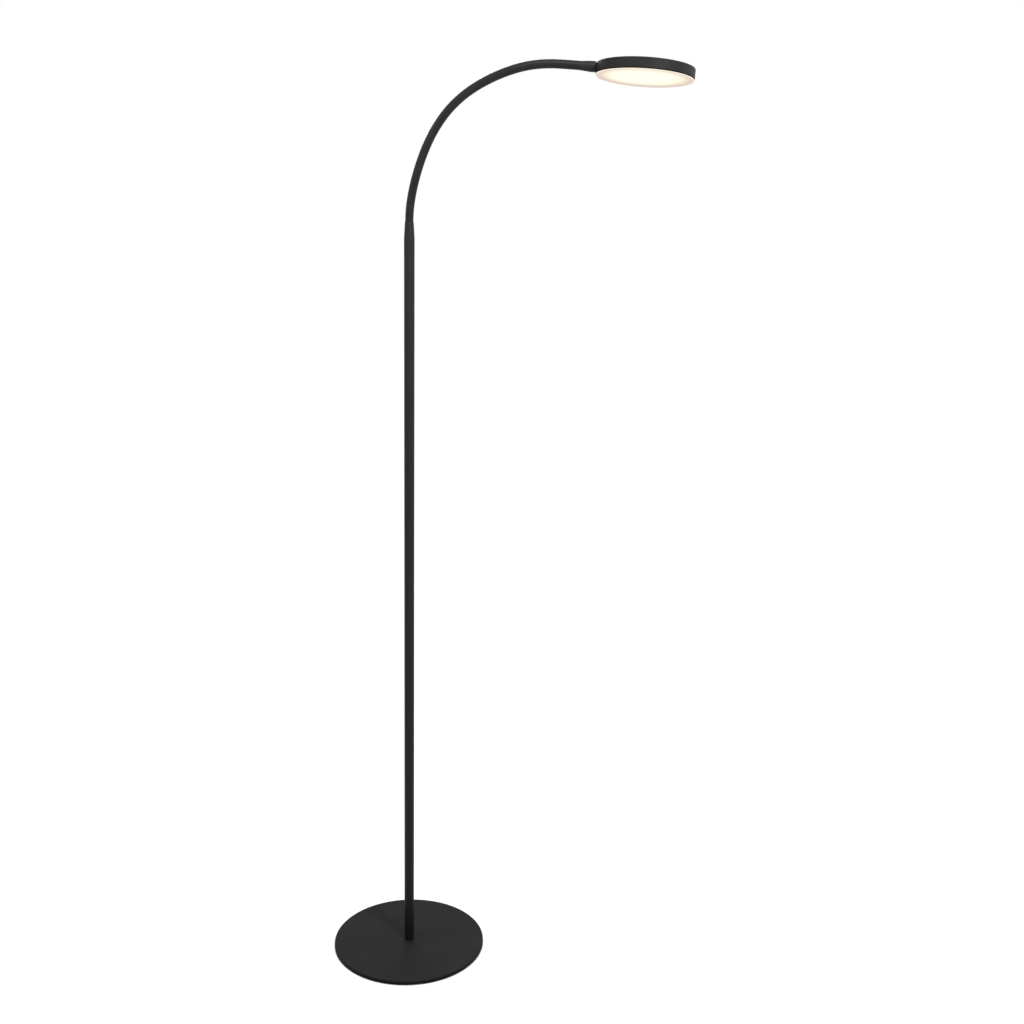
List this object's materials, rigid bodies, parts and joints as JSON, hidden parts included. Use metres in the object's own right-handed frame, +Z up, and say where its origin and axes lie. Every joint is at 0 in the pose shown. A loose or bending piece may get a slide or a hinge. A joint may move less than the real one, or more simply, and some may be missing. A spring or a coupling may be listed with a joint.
{
  "type": "gooseneck reading floor lamp",
  "caption": "Floor lamp with a round weighted base, a slim pole, a bendable gooseneck and a flat round downlight head.",
  "frame": {"origin": "on the floor under the pole's axis", "axes": "+Z up along the pole, +X the way the gooseneck leans, +Y to the left of someone who looks along +X"},
  "size_m": [0.5398, 0.25, 1.4227],
  "materials": {
    "black_powder_coat": "satin, fine texture",
    "black_rubber": "matte",
    "foam_pad": "matte, fine cells",
    "zinc_steel": "zinc plated",
    "black_sleeve": "satin",
    "wound_steel": "oiled spring steel",
    "lead_jacket": "matte",
    "white_nylon": "matte",
    "brass_washer": "satin",
    "thermal_pad": "matte",
    "board": "white solder mask",
    "led_phosphor": "gloss",
    "white_reflector": "matte white",
    "opal_diffuser": "opal, satin"
  },
  "bodies": {
    "stand": {"base_plate": "black_powder_coat", "base_pad": "foam_pad", "base_screws": "zinc_steel", "foot_plug": "zinc_steel", "cord_bush": "black_rubber", "lead_connector": "white_nylon", "pole_tube_lower": "black_powder_coat", "pole_tube_middle": "black_powder_coat", "pole_tube_upper": "black_powder_coat", "coupler_lower": "zinc_steel", "coupler_upper": "zinc_steel", "top_plug": "zinc_steel", "lower_ferrule": "black_powder_coat", "ferrule_screw": "zinc_steel", "pole_lead": "lead_jacket"},
    "neck_00": {"neck_skin_00": "black_sleeve", "neck_core_00": "wound_steel", "neck_lead": "lead_jacket"},
    "neck_01": {"neck_skin_01": "black_sleeve", "neck_core_01": "wound_steel"},
    "neck_02": {"neck_skin_02": "black_sleeve", "neck_core_02": "wound_steel"},
    "neck_03": {"neck_skin_03": "black_sleeve", "neck_core_03": "wound_steel"},
    "neck_04": {"neck_skin_04": "black_sleeve", "neck_core_04": "wound_steel"},
    "neck_05": {"neck_skin_05": "black_sleeve", "neck_core_05": "wound_steel"},
    "neck_06": {"neck_skin_06": "black_sleeve", "neck_core_06": "wound_steel"},
    "neck_07": {"neck_skin_07": "black_sleeve", "neck_core_07": "wound_steel"},
    "neck_08": {"neck_skin_08": "black_sleeve", "neck_core_08": "wound_steel"},
    "neck_09": {"neck_skin_09": "black_sleeve", "neck_core_09": "wound_steel"},
    "neck_10": {"neck_skin_10": "black_sleeve", "neck_core_10": "wound_steel"},
    "neck_11": {"neck_skin_11": "black_sleeve", "neck_core_11": "wound_steel"},
    "neck_12": {"neck_skin_12": "black_sleeve", "neck_core_12": "wound_steel", "upper_ferrule": "black_powder_coat"},
    "head": {"swivel_stud": "zinc_steel", "swivel_washer": "brass_washer", "stud_nut": "zinc_steel", "head_housing": "black_powder_coat", "thermal_pad": "thermal_pad", "led_board": "board", "led_chips": "led_phosphor", "board_screws": "zinc_steel", "reflector": "white_reflector", "diffuser": "opal_diffuser", "lead_terminal": "white_nylon", "head_lead": "lead_jacket"}
  },
  "joints": [
    {"name": "neck_swing", "type": "hinge", "parent": "stand", "child": "neck_00", "pos_m": [0, 0, 1.1889], "axis": [0, 0, 1], "range_deg": [-170, 170]},
    {"name": "neck_bend_01", "type": "hinge", "parent": "neck_00", "child": "neck_01", "pos_m": [0, 0, 1.2049], "axis": [0, 1, 0], "range_deg": [-16, 8], "deforming": ["neck_lead"]},
    {"name": "neck_bend_02", "type": "hinge", "parent": "neck_01", "child": "neck_02", "pos_m": [0.00506, 0, 1.2365], "axis": [0, 1, 0], "range_deg": [-16, 8]},
    {"name": "neck_bend_03", "type": "hinge", "parent": "neck_02", "child": "neck_03", "pos_m": [0.01345, 0, 1.26738], "axis": [0, 1, 0], "range_deg": [-16, 8]},
    {"name": "neck_bend_04", "type": "hinge", "parent": "neck_03", "child": "neck_04", "pos_m": [0.02461, 0, 1.29737], "axis": [0, 1, 0], "range_deg": [-16, 8]},
    {"name": "neck_bend_05", "type": "hinge", "parent": "neck_04", "child": "neck_05", "pos_m": [0.03923, 0, 1.32583], "axis": [0, 1, 0], "range_deg": [-16, 8]},
    {"name": "neck_bend_06", "type": "hinge", "parent": "neck_05", "child": "neck_06", "pos_m": [0.05831, 0, 1.35152], "axis": [0, 1, 0], "range_deg": [-16, 8]},
    {"name": "neck_bend_07", "type": "hinge", "parent": "neck_06", "child": "neck_07", "pos_m": [0.08202, 0, 1.37302], "axis": [0, 1, 0], "range_deg": [-16, 8]},
    {"name": "neck_bend_08", "type": "hinge", "parent": "neck_07", "child": "neck_08", "pos_m": [0.10921, 0, 1.38988], "axis": [0, 1, 0], "range_deg": [-16, 8]},
    {"name": "neck_bend_09", "type": "hinge", "parent": "neck_08", "child": "neck_09", "pos_m": [0.13836, 0, 1.4031], "axis": [0, 1, 0], "range_deg": [-16, 8]},
    {"name": "neck_bend_10", "type": "hinge", "parent": "neck_09", "child": "neck_10", "pos_m": [0.16896, 0, 1.41246], "axis": [0, 1, 0], "range_deg": [-16, 8]},
    {"name": "neck_bend_11", "type": "hinge", "parent": "neck_10", "child": "neck_11", "pos_m": [0.20074, 0, 1.41619], "axis": [0, 1, 0], "range_deg": [-16, 8]},
    {"name": "neck_bend_12", "type": "hinge", "parent": "neck_11", "child": "neck_12", "pos_m": [0.23271, 0, 1.41485], "axis": [0, 1, 0], "range_deg": [-16, 8]},
    {"name": "head_swivel", "type": "hinge", "parent": "neck_12", "child": "head", "pos_m": [0.24768, 0, 1.41396], "axis": [0.9982, 0, -0.0593], "range_deg": [-165, 165]}
  ],
  "couplings": [
    {"joint": "neck_bend_02", "follows": "neck_bend_01", "ratio": 1},
    {"joint": "neck_bend_04", "follows": "neck_bend_03", "ratio": 1},
    {"joint": "neck_bend_06", "follows": "neck_bend_05", "ratio": 1},
    {"joint": "neck_bend_07", "follows": "neck_bend_05", "ratio": 1},
    {"joint": "neck_bend_08", "follows": "neck_bend_05", "ratio": 1},
    {"joint": "neck_bend_10", "follows": "neck_bend_09", "ratio": 1},
    {"joint": "neck_bend_11", "follows": "neck_bend_09", "ratio": 1},
    {"joint": "neck_bend_12", "follows": "neck_bend_09", "ratio": 1}
  ]
}
